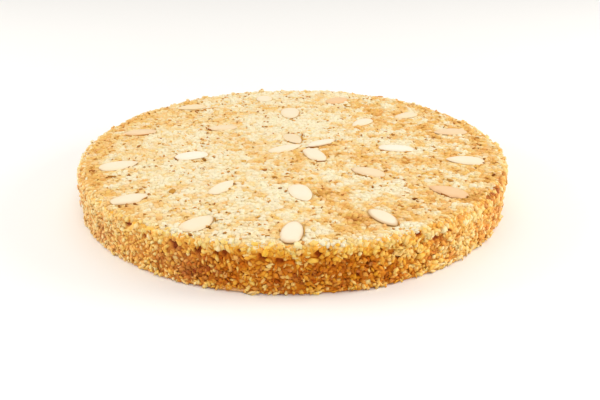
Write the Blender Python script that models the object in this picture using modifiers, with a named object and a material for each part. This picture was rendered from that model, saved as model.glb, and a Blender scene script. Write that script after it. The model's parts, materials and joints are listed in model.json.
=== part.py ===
"""An almond tea cake from a round springform tin, whole and uncut, about 240 mm across and 26 mm high.

The cake body is one solid. Chopped almond sticks to its side and rim, and the largest chips are fused on.
Thin almond slices lie on the top, four as a flower and the rest in two rings, each pressed a little way
into the crumb. Every slice is an object of its own with a narrow gap round it.
Metres, +Z up, origin at the middle of the base.
"""

import math
import random

import bmesh
import bpy
from mathutils import Matrix, Vector, noise
from mathutils.bvhtree import BVHTree

MM = 0.001
SEED = 24

# The cake body
TOP_RADIUS = 119.2 * MM
BASE_RADIUS = 117.4 * MM
HEIGHT = 25.7 * MM
RIM_ROUND = 4.2 * MM
FOOT_ROUND = 0.9 * MM
SEGMENTS = 72
TOP_RINGS = 5
SIDE_RINGS = 4

# Unevenness of the crumb, as the most a point moves, and the width of one bump
TOP_SWELL = 0.55 * MM
SWELL_WIDTH = 34 * MM
CRAG_DEPTH = 1.6 * MM
CRAG_WIDTH = 7 * MM

# Almond slices
SLICE_THICKNESS = 1.15 * MM
SLICE_PROUD = 0.55 * MM
SLICE_CROWN = 0.15 * MM
SLICE_EDGE = 0.3 * MM
SLICE_GAP = 0.3 * MM
SLICE_CORNERS = 14
SLICE_TILT = math.radians(1.6)
BED_HEIGHT = 4 * MM

# Each slice: the bearing and radius of its middle, its turn away from lying along that radius,
# its length and its width, in degrees and millimetres, and its taper. A taper over 0 makes the
# outer end the narrow one, and under 0 the inner end
FLOWER = (
    (88.8, 18.9, 22.0, 18.8, 9.8, -0.12),
    (146.3, 5.0, 61.7, 21.4, 8.4, -0.15),
    (32.9, 20.2, 0.0, 21.0, 8.0, 0.1),
    (-33.0, 14.7, -35.0, 20.8, 10.8, 0.05),
)
INNER_RING = (
    (-86.3, 60.0, 11.0, 21.2, 11.4, 0.12),
    (-39.5, 51.9, 9.0, 20.2, 10.2, -0.1),
    (2.2, 59.6, -11.0, 21.6, 9.8, 0.05),
    (47.8, 64.2, -4.0, 17.4, 8.8, -0.2),
    (91.0, 66.6, -1.0, 22.6, 12.0, -0.15),
    (138.0, 57.4, 54.0, 19.6, 9.0, 0.16),
    (-171.6, 57.0, 4.0, 19.0, 11.2, -0.14),
    (-124.2, 64.0, 3.0, 20.6, 8.4, -0.24),
)
OUTER_RING = (
    (-90.4, 104.2, -6.0, 24.4, 10.8, -0.16),
    (-64.7, 98.8, 4.0, 22.4, 9.8, 0.04),
    (-37.2, 98.0, -2.0, 22.8, 11.2, -0.22),
    (-10.6, 96.4, 0.0, 21.6, 11.6, -0.18),
    (17.0, 99.2, -10.0, 21.0, 11.0, -0.1),
    (40.0, 94.2, -16.0, 16.8, 9.4, -0.1),
    (71.9, 96.8, -32.0, 18.0, 11.0, 0.1),
    (100.8, 98.8, -14.0, 13.4, 10.8, -0.1),
    (129.6, 102.6, 64.0, 19.4, 9.2, 0.12),
    (161.8, 96.4, 28.0, 21.0, 9.4, 0.12),
    (-166.8, 96.6, 12.0, 22.4, 11.6, -0.2),
    (-140.5, 104.5, -7.0, 20.2, 10.8, -0.1),
    (-115.2, 104.4, -14.0, 20.4, 12.0, -0.18),
)
TOASTED_SLICES = (1, 6, 10, 15, 17, 19, 22)

# Chopped almond on the side, on the rim and on the outer top
SIDE_CHIPS = 160
RIM_CHIPS = 54
TOP_CHIPS = 40
CHIP_LENGTH = (2.8 * MM, 6.8 * MM)
CHIP_WIDTH = (1.8 * MM, 3.0 * MM)
CHIP_THICKNESS = (1.6 * MM, 2.4 * MM)
CHIP_SINK = 0.12
CHIP_TILT = math.radians(26)
TOP_CHIP_SINK = 0.26
TOP_CHIP_TILT = math.radians(9)
CHIP_SPACING = 0.74
CHIP_LOWEST = 1.6 * MM
CHIP_FLOOR_GAP = 0.35 * MM
TOP_CHIP_RADIUS = (84 * MM, 112 * MM)
SLICE_CLEARANCE = 3.2 * MM
GOLDEN_ANGLE = math.pi * (3 - math.sqrt(5))


def clear_scene():
    for scene_object in list(bpy.data.objects):
        bpy.data.objects.remove(scene_object, do_unlink=True)


def make_collection(name):
    collection = bpy.data.collections.new(name)
    bpy.context.scene.collection.children.link(collection)
    return collection


def make_material(name, colour, roughness):
    material = bpy.data.materials.new(name)
    material.use_nodes = True
    shader = material.node_tree.nodes["Principled BSDF"]
    shader.inputs["Base Color"].default_value = (*colour, 1.0)
    shader.inputs["Roughness"].default_value = roughness
    shader.inputs["Metallic"].default_value = 0.0
    return material


def make_object(name, mesh, collection):
    scene_object = bpy.data.objects.new(name, mesh)
    collection.objects.link(scene_object)
    return scene_object


def make_helper(name, mesh, collection):
    helper = make_object(name, mesh, collection)
    helper.hide_render = True
    helper.display_type = "WIRE"
    return helper


def finish_bmesh(shape, name):
    mesh = bpy.data.meshes.new(name)
    shape.to_mesh(mesh)
    shape.free()
    return mesh


def apply_modifiers(scene_object):
    bpy.context.view_layer.update()
    graph = bpy.context.evaluated_depsgraph_get()
    mesh = bpy.data.meshes.new_from_object(scene_object.evaluated_get(graph))
    scene_object.modifiers.clear()
    scene_object.data = mesh


def boolean_with(scene_object, collection, operation):
    """Joins or cuts with every object of the collection at once, then removes them."""
    boolean = scene_object.modifiers.new(operation.lower(), "BOOLEAN")
    boolean.operation = operation
    boolean.operand_type = "COLLECTION"
    boolean.collection = collection
    boolean.solver = "EXACT"
    apply_modifiers(scene_object)
    for helper in list(collection.objects):
        bpy.data.objects.remove(helper, do_unlink=True)
    bpy.data.collections.remove(collection)


def side_radius(height):
    return BASE_RADIUS + (TOP_RADIUS - BASE_RADIUS) * height / HEIGHT


def profile_points():
    """The cake's section: from the middle of the top, round the rim, down the side and under the base."""
    flat_radius = TOP_RADIUS - RIM_ROUND
    points = [(0.0, HEIGHT)]
    points += [(flat_radius * ring / TOP_RINGS, HEIGHT) for ring in range(1, TOP_RINGS + 1)]
    for angle in (math.radians(40), math.radians(72)):
        across = flat_radius + RIM_ROUND * math.sin(angle)
        points.append((across, HEIGHT - RIM_ROUND * (1 - math.cos(angle))))
    side_top = HEIGHT - 1.25 * RIM_ROUND
    for ring in range(SIDE_RINGS):
        height = side_top + (FOOT_ROUND - side_top) * ring / (SIDE_RINGS - 1)
        points.append((side_radius(height), height))
    points.append((BASE_RADIUS - FOOT_ROUND, 0.0))
    points.append((0.0, 0.0))
    return points


def top_swell(x, y):
    """How far the top lies above or below its nominal height."""
    return TOP_SWELL * noise.noise(Vector((x, y, 0.0)) / SWELL_WIDTH)


def roughen(shape):
    """Moves the top up and down and the side in and out, and leaves the base flat."""
    for vertex in shape.verts:
        place = vertex.co.copy()
        if place.z < 0.5 * FOOT_ROUND:
            continue
        radius = place.xy.length
        side_share = min(1.0, max(0.0, 1 - (TOP_RADIUS - radius) / (2 * RIM_ROUND)))
        crag = CRAG_DEPTH * side_share * noise.noise(place / CRAG_WIDTH)
        vertex.co.xy += place.xy.normalized() * crag
        vertex.co.z += top_swell(place.x, place.y) * place.z / HEIGHT
        if place.z > HEIGHT - RIM_ROUND:
            vertex.co.z += 0.6 * crag


def make_body(collection):
    points = profile_points()
    mesh = bpy.data.meshes.new("cake")
    edges = [(index, index + 1) for index in range(len(points) - 1)]
    mesh.from_pydata([(across, 0, height) for across, height in points], edges, [])
    body = make_object("cake", mesh, collection)
    screw = body.modifiers.new("turn", "SCREW")
    screw.axis = "Z"
    screw.steps = SEGMENTS
    screw.render_steps = SEGMENTS
    screw.use_merge_vertices = True
    screw.merge_threshold = 0.00001
    apply_modifiers(body)
    shape = bmesh.new()
    shape.from_mesh(body.data)
    roughen(shape)
    bmesh.ops.triangulate(shape, faces=shape.faces)
    body.data = finish_bmesh(shape, "cake")
    return body


def slice_corner(angle, length, width, taper, margin):
    """A point on the edge of a rounded oval that is narrower at one end."""
    half_width = width / 2 * (1 - taper * math.cos(angle))
    return (length / 2 + margin) * math.cos(angle), (half_width + margin) * math.sin(angle)


def raise_faces(shape, faces, rise, inset=0.0, underside=True):
    """Extrudes the faces upwards, draws their outline in, and gives the raised faces back."""
    made = bmesh.ops.extrude_face_region(shape, geom=faces)["geom"]
    if not underside:
        bmesh.ops.delete(shape, geom=faces, context="FACES_ONLY")
    for vertex in (item for item in made if isinstance(item, bmesh.types.BMVert)):
        distance = vertex.co.xy.length
        if distance > inset:
            vertex.co.xy *= 1 - inset / distance
        vertex.co.z += rise
    return [item for item in made if isinstance(item, bmesh.types.BMFace)]


def slice_plate(length, width, taper, margin=0.0):
    """A flat oval of triangles round one middle point, at Z = 0."""
    shape = bmesh.new()
    bmesh.ops.create_circle(shape, cap_ends=True, cap_tris=True, segments=SLICE_CORNERS, radius=1)
    for vertex in shape.verts:
        if vertex.co.length > 0.5:
            angle = math.atan2(vertex.co.y, vertex.co.x)
            vertex.co.xy = slice_corner(angle, length, width, taper, margin)
    return shape


def slice_mesh(name, length, width, taper):
    """A thin slice: an oval plate with its upper edge broken and its top a little crowned."""
    shape = slice_plate(length, width, taper)
    top = raise_faces(shape, shape.faces[:], SLICE_THICKNESS - SLICE_EDGE)
    top = raise_faces(shape, top, SLICE_EDGE, SLICE_EDGE, underside=False)
    middle = min({v for face in top for v in face.verts}, key=lambda v: v.co.xy.length)
    middle.co.z += SLICE_CROWN
    bmesh.ops.recalc_face_normals(shape, faces=shape.faces)
    bmesh.ops.triangulate(shape, faces=shape.faces)
    return finish_bmesh(shape, name)


def bed_mesh(name, length, width, taper):
    """The hollow that a slice lies in: its outline a gap wider, and open at the top."""
    shape = slice_plate(length, width, taper, SLICE_GAP)
    raise_faces(shape, shape.faces[:], BED_HEIGHT)
    bmesh.ops.recalc_face_normals(shape, faces=shape.faces)
    bmesh.ops.triangulate(shape, faces=shape.faces)
    return finish_bmesh(shape, name)


def slice_place(bearing, radius, turn, draw):
    """Where a slice lies: its length along its own X, its underside at its own Z = 0."""
    x, y = radius * math.cos(bearing), radius * math.sin(bearing)
    underside = HEIGHT + top_swell(x, y) + SLICE_PROUD - SLICE_THICKNESS
    roll = Matrix.Rotation(draw.uniform(-SLICE_TILT, SLICE_TILT), 4, "X")
    pitch = Matrix.Rotation(draw.uniform(-SLICE_TILT, SLICE_TILT), 4, "Y")
    return Matrix.Translation((x, y, underside)) @ Matrix.Rotation(bearing + turn, 4, "Z") @ roll @ pitch


def make_slices(rows, collection, cutters, pale, toasted):
    """The slices, each with a cutter for its bed. Gives each one's place, length and width."""
    draw = random.Random(SEED)
    laid = []
    for number, (bearing, radius, turn, length, width, taper) in enumerate(rows, start=1):
        name = f"almond_slice_{number:02d}"
        length, width = length * MM, width * MM
        place = slice_place(math.radians(bearing), radius * MM, math.radians(turn), draw)
        almond = make_object(name, slice_mesh(name, length, width, taper), collection)
        almond.matrix_world = place
        almond.data.materials.append(toasted if number in TOASTED_SLICES else pale)
        cutter = make_helper(name + "_bed", bed_mesh(name + "_bed", length, width, taper), cutters)
        cutter.matrix_world = place @ Matrix.Translation((0, 0, -SLICE_GAP))
        laid.append((place, length, width))
    return laid


def clear_of_slices(point, laid):
    """Whether a point on the top is outside every slice with room to spare."""
    for place, length, width in laid:
        local = place.inverted() @ point
        across = local.x / (length / 2 + SLICE_CLEARANCE)
        along = local.y / (width / 2 + SLICE_CLEARANCE)
        if math.hypot(across, along) < 1:
            return False
    return True


def chip_mesh(name, size, draw):
    """One piece of chopped almond: a splinter with flat faces and uneven, tapering ends."""
    shape = bmesh.new()
    bmesh.ops.create_cube(shape, size=1)
    for vertex in shape.verts:
        pinch = draw.uniform(0.55, 1.0)
        vertex.co.x *= size[0] * draw.uniform(0.78, 1.0)
        vertex.co.y *= size[1] * pinch
        vertex.co.z *= size[2] * pinch
    hull = bmesh.ops.convex_hull(shape, input=shape.verts)
    inner = [item for item in hull["geom_interior"] if isinstance(item, bmesh.types.BMVert)]
    sides = [face for face in shape.faces if len(face.verts) > 3]
    bmesh.ops.delete(shape, geom=sides, context="FACES_ONLY")
    bmesh.ops.delete(shape, geom=inner, context="VERTS")
    bmesh.ops.recalc_face_normals(shape, faces=shape.faces)
    return finish_bmesh(shape, name)


def chip_sites(laid):
    """Where chips go, spread evenly: a point outside the body, the way in from there, sink and tilt."""
    draw = random.Random(SEED + 1)
    for number in range(RIM_CHIPS):
        bearing = 2 * math.pi * (number + draw.uniform(-0.3, 0.3)) / RIM_CHIPS
        outward = Vector((math.cos(bearing), math.sin(bearing), 0))
        lean = outward * draw.uniform(0.35, 1.0) + Vector((0, 0, draw.uniform(0.3, 1.0)))
        heart = outward * (TOP_RADIUS - RIM_ROUND) + Vector((0, 0, HEIGHT - RIM_ROUND))
        yield heart + lean.normalized() * 3 * RIM_ROUND, -lean.normalized(), CHIP_SINK, CHIP_TILT
    for number in range(SIDE_CHIPS):
        bearing = GOLDEN_ANGLE * number + draw.uniform(-0.02, 0.02)
        share = (number + 0.5) / SIDE_CHIPS
        outward = Vector((math.cos(bearing), math.sin(bearing), 0))
        height = CHIP_LOWEST + (HEIGHT - RIM_ROUND - CHIP_LOWEST) * share
        yield outward * 1.2 * TOP_RADIUS + Vector((0, 0, height)), -outward, CHIP_SINK, CHIP_TILT
    for number in range(TOP_CHIPS):
        bearing = GOLDEN_ANGLE * number
        radius = draw.uniform(*TOP_CHIP_RADIUS)
        point = Vector((radius * math.cos(bearing), radius * math.sin(bearing), 2 * HEIGHT))
        if clear_of_slices(point, laid):
            yield point, Vector((0, 0, -1)), TOP_CHIP_SINK, TOP_CHIP_TILT


def add_chips(body, laid):
    """Lays the chips on the body one clear of another, and fuses them to it."""
    chips = make_collection("chips")
    corners = [vertex.co for vertex in body.data.vertices]
    surface = BVHTree.FromPolygons(corners, [face.vertices for face in body.data.polygons])
    draw = random.Random(SEED + 2)
    placed = []
    for start, towards, sink, tilt in chip_sites(laid):
        hit, normal, _, _ = surface.ray_cast(start, towards)
        size = [draw.uniform(*span) for span in (CHIP_LENGTH, CHIP_WIDTH, CHIP_THICKNESS)]
        if any((hit - other).length < CHIP_SPACING * (size[0] + length) / 2 for other, length in placed):
            continue
        lean = Matrix.Rotation(draw.uniform(-tilt, tilt), 4, "X")
        lean = lean @ Matrix.Rotation(draw.uniform(-tilt, tilt), 4, "Y")
        spin = Matrix.Rotation(draw.uniform(0, math.pi), 4, "Z")
        facing = normal.to_track_quat("Z", "Y").to_matrix().to_4x4()
        name = f"chip_{len(placed) + 1:03d}"
        chip = make_helper(name, chip_mesh(name, size, draw), chips)
        place = Matrix.Translation(hit - normal * sink * size[2]) @ facing @ spin @ lean
        lowest = min((place @ vertex.co).z for vertex in chip.data.vertices)
        lift = max(0.0, CHIP_FLOOR_GAP - lowest)
        chip.matrix_world = Matrix.Translation((0, 0, lift)) @ place
        placed.append((hit, size[0]))
    boolean_with(body, chips, "UNION")
    return len(placed)


def main():
    clear_scene()
    crumb = make_material("baked_crumb", (0.72, 0.44, 0.18), 0.8)
    pale = make_material("almond_pale", (0.90, 0.80, 0.58), 0.55)
    toasted = make_material("almond_toasted", (0.84, 0.58, 0.30), 0.55)
    parts = make_collection("almond_tea_cake")
    beds = make_collection("beds")
    body = make_body(parts)
    laid = make_slices(FLOWER + INNER_RING + OUTER_RING, parts, beds, pale, toasted)
    boolean_with(body, beds, "DIFFERENCE")
    chip_count = add_chips(body, laid)
    body.data.shade_flat()
    body.data.materials.clear()
    body.data.materials.append(crumb)
    print(f"{chip_count} chips, {len(laid)} slices, {len(body.data.polygons)} faces on the body")


main()
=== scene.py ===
import json
import math
import random

import bmesh
import bpy
import numpy as np
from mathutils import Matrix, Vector, noise
from mathutils.bvhtree import BVHTree

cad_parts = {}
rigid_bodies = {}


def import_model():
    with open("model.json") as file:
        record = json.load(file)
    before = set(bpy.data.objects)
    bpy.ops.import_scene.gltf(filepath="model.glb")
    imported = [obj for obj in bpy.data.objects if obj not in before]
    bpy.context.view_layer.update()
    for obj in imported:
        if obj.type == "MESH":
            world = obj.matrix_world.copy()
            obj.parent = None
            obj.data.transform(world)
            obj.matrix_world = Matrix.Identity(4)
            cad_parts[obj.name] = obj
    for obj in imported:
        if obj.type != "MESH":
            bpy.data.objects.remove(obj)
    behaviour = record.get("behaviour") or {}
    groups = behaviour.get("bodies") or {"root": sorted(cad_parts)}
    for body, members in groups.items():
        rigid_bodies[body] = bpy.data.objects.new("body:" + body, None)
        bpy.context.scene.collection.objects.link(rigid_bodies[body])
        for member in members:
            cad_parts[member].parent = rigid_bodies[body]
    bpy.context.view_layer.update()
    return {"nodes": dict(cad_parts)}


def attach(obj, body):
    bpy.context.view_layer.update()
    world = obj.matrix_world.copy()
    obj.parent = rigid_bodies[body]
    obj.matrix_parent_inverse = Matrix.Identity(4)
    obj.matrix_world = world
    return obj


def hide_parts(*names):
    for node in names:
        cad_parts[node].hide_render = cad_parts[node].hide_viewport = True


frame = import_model()
mm = 0.001


# Small helpers

def deselectAll():
    if bpy.context.object and bpy.context.object.mode != "OBJECT":
        bpy.ops.object.mode_set(mode="OBJECT")
    bpy.ops.object.select_all(action="DESELECT")


def makeActive(piece):
    deselectAll()
    piece.select_set(True)
    bpy.context.view_layer.objects.active = piece


def pickFaces(piece, wanted):
    # selects faces in edit mode by their place or normal
    shape = bmesh.from_edit_mesh(piece.data)
    for face in shape.faces:
        face.select_set(bool(wanted(face)))
    shape.select_flush_mode()
    bmesh.update_edit_mesh(piece.data)


def applyAll(piece):
    makeActive(piece)
    for modifier in list(piece.modifiers):
        bpy.ops.object.modifier_apply(modifier=modifier.name)


def addAttribute(piece, name, values):
    attribute = piece.data.attributes.new(name, "FLOAT", "POINT")
    attribute.data.foreach_set("value", np.asarray(values, np.float32))


def pointsOf(mesh):
    points = np.empty(len(mesh.vertices) * 3, np.float32)
    mesh.vertices.foreach_get("co", points)
    return points.reshape(-1, 3).astype(float)


def setPoints(mesh, points):
    mesh.vertices.foreach_set("co", np.asarray(points, np.float32).ravel())
    mesh.update()


def noiseAt(points, width, shift=0.0):
    # smooth noise from -1 to 1 at each point, with bumps of the given width
    offset = Vector((shift, 2.3 * shift, -1.7 * shift))
    return np.array([noise.noise(Vector(point) / width + offset) for point in points])


def smoothStep(low, high, value):
    share = np.clip((value - low) / (high - low), 0, 1)
    return share * share * (3 - 2 * share)


def finishPiece(piece, material, slot, *nodes):
    piece.data.materials.clear()
    piece.data.materials.append(material)
    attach(piece, "root")
    if nodes:
        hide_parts(*nodes)


# Camera

cameraView = {
    "place": (-0.00148, -0.44269, 0.19374),
    "tilt": 65.75,
    "turn": -0.743,
    "lens": 50.0,
}


def addCamera():
    deselectAll()
    turned = (math.radians(cameraView["tilt"]), 0, math.radians(cameraView["turn"]))
    bpy.ops.object.camera_add(location=cameraView["place"], rotation=turned)
    camera = bpy.context.object
    camera.data.lens = cameraView["lens"]
    camera.data.sensor_width = 36.0
    camera.data.clip_start = 0.01
    camera.data.dof.use_dof = False
    bpy.context.scene.camera = camera


# Light and floor

studio = {
    "skyStrength": 0.57,
    "skyColour": (1.0, 0.985, 0.96),
    "floorColour": (0.9, 0.895, 0.885),
    # name, place, aimed at, size, watts, colour
    "lamps": (
        ("overhead", (0.0, 0.35, 1.1), (0, 0, 0), 1.1, 2.3, (1.0, 0.98, 0.95)),
        ("left", (-1.05, 0.05, 0.42), (0, 0, 0.02), 0.5, 6.6, (1.0, 0.97, 0.92)),
        ("right", (1.05, 0.0, 0.42), (0, 0, 0.02), 0.5, 8.0, (1.0, 0.97, 0.92)),
        ("front", (0.1, -0.8, 0.95), (0, 0, 0.02), 0.6, 4.15, (1.0, 0.97, 0.92)),
    ),
}


def addNode(tree, kind, label=None, **values):
    node = tree.nodes.new(kind)
    if label:
        node.label = label
    for key, value in values.items():
        if hasattr(node, key):
            setattr(node, key, value)
        else:
            node.inputs[key.replace("_", " ")].default_value = value
    return node


def addMaterial(name, roughness, specular):
    material = bpy.data.materials.new(name)
    material.use_nodes = True
    tree = material.node_tree
    shader = tree.nodes["Principled BSDF"]
    shader.inputs["Roughness"].default_value = roughness
    shader.inputs["Specular IOR Level"].default_value = specular
    coordinates = addNode(tree, "ShaderNodeTexCoord", "Where")
    return material, tree, shader, coordinates.outputs["Object"]


def addLight():
    world = bpy.data.worlds.new("paleRoom")
    bpy.context.scene.world = world
    world.use_nodes = True
    background = world.node_tree.nodes["Background"]
    background.inputs["Color"].default_value = (*studio["skyColour"], 1)
    background.inputs["Strength"].default_value = studio["skyStrength"]
    for name, place, aim, size, watts, colour in studio["lamps"]:
        deselectAll()
        bpy.ops.object.light_add(type="AREA", location=place)
        lamp = bpy.context.object
        lamp.name = name
        lamp.data.size = size
        lamp.data.energy = watts
        lamp.data.color = colour
        towards = Vector(aim) - Vector(place)
        lamp.rotation_euler = towards.to_track_quat("-Z", "Y").to_euler()
    bpy.context.scene.view_settings.view_transform = "Standard"


def addFloor():
    deselectAll()
    bpy.ops.mesh.primitive_plane_add(size=8, location=(0, 0, -0.05 * mm))  # just clear of the base
    floor = bpy.context.object
    floor.name = "floor"
    material, tree, shader, place = addMaterial("paleFloor", 0.7, 0.3)
    cloud = addNode(tree, "ShaderNodeTexNoise", Scale=3.0, Detail=3.0)
    tree.links.new(place, cloud.inputs["Vector"])
    ramp = addNode(tree, "ShaderNodeValToRGB")
    ramp.color_ramp.elements[0].color = (*[0.985 * part for part in studio["floorColour"]], 1)
    ramp.color_ramp.elements[1].color = (*studio["floorColour"], 1)
    tree.links.new(cloud.outputs["Fac"], ramp.inputs["Fac"])
    tree.links.new(ramp.outputs["Color"], shader.inputs["Base Color"])
    floor.data.materials.append(material)


addCamera()
addLight()
addFloor()
print("camera, light and floor in place")


# Materials

roast = {
    # baked tone from almost burnt to pale: place on the ramp, and linear colour
    "crumbRamp": (
        (0.00, (0.12, 0.036, 0.006)),
        (0.20, (0.31, 0.115, 0.020)),
        (0.38, (0.57, 0.264, 0.056)),
        (0.55, (0.775, 0.442, 0.126)),
        (0.70, (0.81, 0.550, 0.226)),
        (0.86, (0.82, 0.655, 0.370)),
        (1.00, (0.84, 0.750, 0.53)),
    ),
    "nutRamp": (
        (0.00, (0.08, 0.014, 0.0005)),
        (0.16, (0.35, 0.064, 0.002)),
        (0.34, (0.61, 0.188, 0.009)),
        (0.50, (0.79, 0.352, 0.034)),
        (0.60, (0.86, 0.430, 0.052)),
        (0.72, (0.875, 0.525, 0.112)),
        (0.85, (0.86, 0.610, 0.230)),
        (1.00, (0.87, 0.715, 0.40)),
    ),
    # how far each bit's own hue turns its colour, and how much colour a less baked bit loses
    "hueTurn": 0.006,
    "softening": 0.22,
    "grainStrength": 0.6,
}
finishes = {
    "bakedCrumb": {
        "ramp": "crumbRamp", "roughness": 0.78, "specular": 0.03, "mottling": 0.015, "flecking": 0.015,
        "grainDepth": 0.40 * mm, "scales": (400, 1500, 900),
    },
    "choppedAlmond": {
        "ramp": "nutRamp", "roughness": 0.48, "specular": 0.09, "mottling": 0.06, "flecking": 0.04,
        "grainDepth": 0.12 * mm, "scales": (420, 1500, 800),
    },
}
mottleScales = ("Patch Scale", "Fibre Scale", "Fleck Scale")


def buildNutMottle():
    # the fine unevenness that crumb, chopped nut and almond slices share
    group = bpy.data.node_groups.new("nutMottle", "ShaderNodeTree")
    face = group.interface
    face.new_socket("Place", in_out="INPUT", socket_type="NodeSocketVector")
    for name, value in zip(mottleScales, (260.0, 1400.0, 700.0)):
        face.new_socket(name, in_out="INPUT", socket_type="NodeSocketFloat").default_value = value
    for name in ("Mottle", "Fleck", "Grain"):
        face.new_socket(name, in_out="OUTPUT", socket_type="NodeSocketFloat")
    start = group.nodes.new("NodeGroupInput")
    end = group.nodes.new("NodeGroupOutput")
    patch = addNode(group, "ShaderNodeTexNoise", "Patches", Detail=4.0, Roughness=0.6)
    fibre = addNode(group, "ShaderNodeTexNoise", "Fibres", Detail=3.0, Roughness=0.65)
    cells = addNode(group, "ShaderNodeTexVoronoi", "Flecks", feature="F1")
    for node, scale in zip((patch, fibre, cells), mottleScales):
        group.links.new(start.outputs["Place"], node.inputs["Vector"])
        group.links.new(start.outputs[scale], node.inputs["Scale"])
    small = addNode(
        group, "ShaderNodeMapRange", "Only the smallest cells",
        From_Min=0.10, From_Max=0.24, To_Min=1.0, To_Max=0.0,
    )
    group.links.new(cells.outputs["Distance"], small.inputs["Value"])
    rise = addNode(group, "ShaderNodeMath", operation="ADD")
    group.links.new(patch.outputs["Fac"], rise.inputs[0])
    group.links.new(fibre.outputs["Fac"], rise.inputs[1])
    group.links.new(patch.outputs["Fac"], end.inputs["Mottle"])
    group.links.new(small.outputs["Result"], end.inputs["Fleck"])
    group.links.new(rise.outputs[0], end.inputs["Grain"])
    return group


nutMottle = buildNutMottle()


def addMottle(tree, place, scales):
    mottle = addNode(tree, "ShaderNodeGroup", node_tree=nutMottle)
    tree.links.new(place, mottle.inputs["Place"])
    for socket, scale in zip(mottleScales, scales):
        mottle.inputs[socket].default_value = scale
    return mottle


def addGrain(tree, shader, mottle, strength, depth):
    bump = addNode(tree, "ShaderNodeBump", "Fine grain", Strength=strength, Distance=depth)
    tree.links.new(mottle.outputs["Grain"], bump.inputs["Height"])
    tree.links.new(bump.outputs["Normal"], shader.inputs["Normal"])


def readAttribute(tree, label, name):
    return addNode(tree, "ShaderNodeAttribute", label, attribute_name=name).outputs["Fac"]


def multiplyAdd(tree, source, factor, plus, clamp=False):
    # source times factor, plus a number or another socket
    step = addNode(tree, "ShaderNodeMath", operation="MULTIPLY_ADD", use_clamp=clamp)
    tree.links.new(source, step.inputs[0])
    step.inputs[1].default_value = factor
    if isinstance(plus, float):
        step.inputs[2].default_value = plus
    else:
        tree.links.new(plus, step.inputs[2])
    return step.outputs[0]


def roastMaterial(name):
    # colour from the baked tone held on each piece, broken up by the mottle
    form = finishes[name]
    material, tree, shader, place = addMaterial(name, form["roughness"], form["specular"])
    link = tree.links.new
    mottle = addMottle(tree, place, form["scales"])
    spread = addNode(
        tree, "ShaderNodeMapRange", "Mottling",
        From_Min=0.25, From_Max=0.75, To_Min=-form["mottling"], To_Max=form["mottling"],
    )
    link(mottle.outputs["Mottle"], spread.inputs["Value"])
    uneven = addNode(tree, "ShaderNodeMath", operation="ADD")
    link(readAttribute(tree, "Baked tone", "tone"), uneven.inputs[0])
    link(spread.outputs["Result"], uneven.inputs[1])
    ramp = addNode(tree, "ShaderNodeValToRGB", "Roast")
    steps = ramp.color_ramp.elements
    rampStops = roast[form["ramp"]]
    while len(steps) < len(rampStops):
        steps.new(0.5)
    for step, (stop, colour) in zip(steps, rampStops):
        step.position = stop
        step.color = (*colour, 1)
    link(multiplyAdd(tree, mottle.outputs["Fleck"], -form["flecking"], uneven.outputs[0]), ramp.inputs["Fac"])
    varied = addNode(tree, "ShaderNodeHueSaturation", "Redder or yellower")
    hue = readAttribute(tree, "Hue of each bit", "hue")
    link(multiplyAdd(tree, hue, roast["hueTurn"], 0.5), varied.inputs["Hue"])
    soft = readAttribute(tree, "Less deeply baked", "soft")
    link(multiplyAdd(tree, soft, -roast["softening"], 1.0), varied.inputs["Saturation"])
    link(ramp.outputs["Color"], varied.inputs["Color"])
    link(varied.outputs["Color"], shader.inputs["Base Color"])
    addGrain(tree, shader, mottle, roast["grainStrength"], form["grainDepth"])
    return material


crumbMaterial = roastMaterial("bakedCrumb")
nutMaterial = roastMaterial("choppedAlmond")

cutAlmond = {
    "roughness": 0.55,
    "specular": 0.4,
    "scales": (170.0, 900.0, 420.0),
    "blush": 0.35,
    "grainStrength": 0.35,
    "grainDepth": 0.12 * mm,
    # pale, warm and skin colours
    "paleAlmond": ((0.85, 0.777, 0.64), (0.81, 0.635, 0.39), (0.52, 0.30, 0.11)),
    "toastedAlmond": ((0.79, 0.64, 0.42), (0.78, 0.47, 0.23), (0.40, 0.17, 0.05)),
}


def sliceMaterial(name):
    # smooth cut almond: faint veins along its length, and its brown skin at the edge
    pale, warm, skin = cutAlmond[name]
    material, tree, shader, place = addMaterial(name, cutAlmond["roughness"], cutAlmond["specular"])
    link = tree.links.new
    mottle = addMottle(tree, place, cutAlmond["scales"])
    ground = addNode(tree, "ShaderNodeMix", "Pale to warm", data_type="RGBA")
    ground.inputs["A"].default_value = (*pale, 1)
    ground.inputs["B"].default_value = (*warm, 1)
    toasted = readAttribute(tree, "Toasted", "toasted")
    warmth = multiplyAdd(tree, mottle.outputs["Mottle"], cutAlmond["blush"], toasted, clamp=True)
    link(warmth, ground.inputs[0])
    skinned = addNode(tree, "ShaderNodeMix", "Skin", data_type="RGBA")
    skinned.inputs["B"].default_value = (*skin, 1)
    link(ground.outputs["Result"], skinned.inputs["A"])
    link(readAttribute(tree, "Skin at the edge", "skin"), skinned.inputs[0])
    link(skinned.outputs["Result"], shader.inputs["Base Color"])
    addGrain(tree, shader, mottle, cutAlmond["grainStrength"], cutAlmond["grainDepth"])
    return material


paleSliceMaterial = sliceMaterial("paleAlmond")
toastedSliceMaterial = sliceMaterial("toastedAlmond")
print("materials ready")


# The solid's own surface, which the crumbs and chips are laid on

def closedCopy(nodeName, name):
    node = frame["nodes"][nodeName]
    piece = bpy.data.objects.new(name, node.data.copy())
    bpy.context.scene.collection.objects.link(piece)
    makeActive(piece)
    bpy.ops.object.mode_set(mode="EDIT")
    bpy.ops.mesh.select_all(action="SELECT")
    bpy.ops.mesh.remove_doubles(threshold=0.002 * mm)
    bpy.ops.object.mode_set(mode="OBJECT")
    return piece


def surfaceOf(piece):
    corners = [vertex.co for vertex in piece.data.vertices]
    return BVHTree.FromPolygons(corners, [face.vertices for face in piece.data.polygons])


cakeBody = closedCopy("cake", "cakeBody")
cakeSurface = surfaceOf(cakeBody)


# Where each slice lies, measured on its solid

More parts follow.
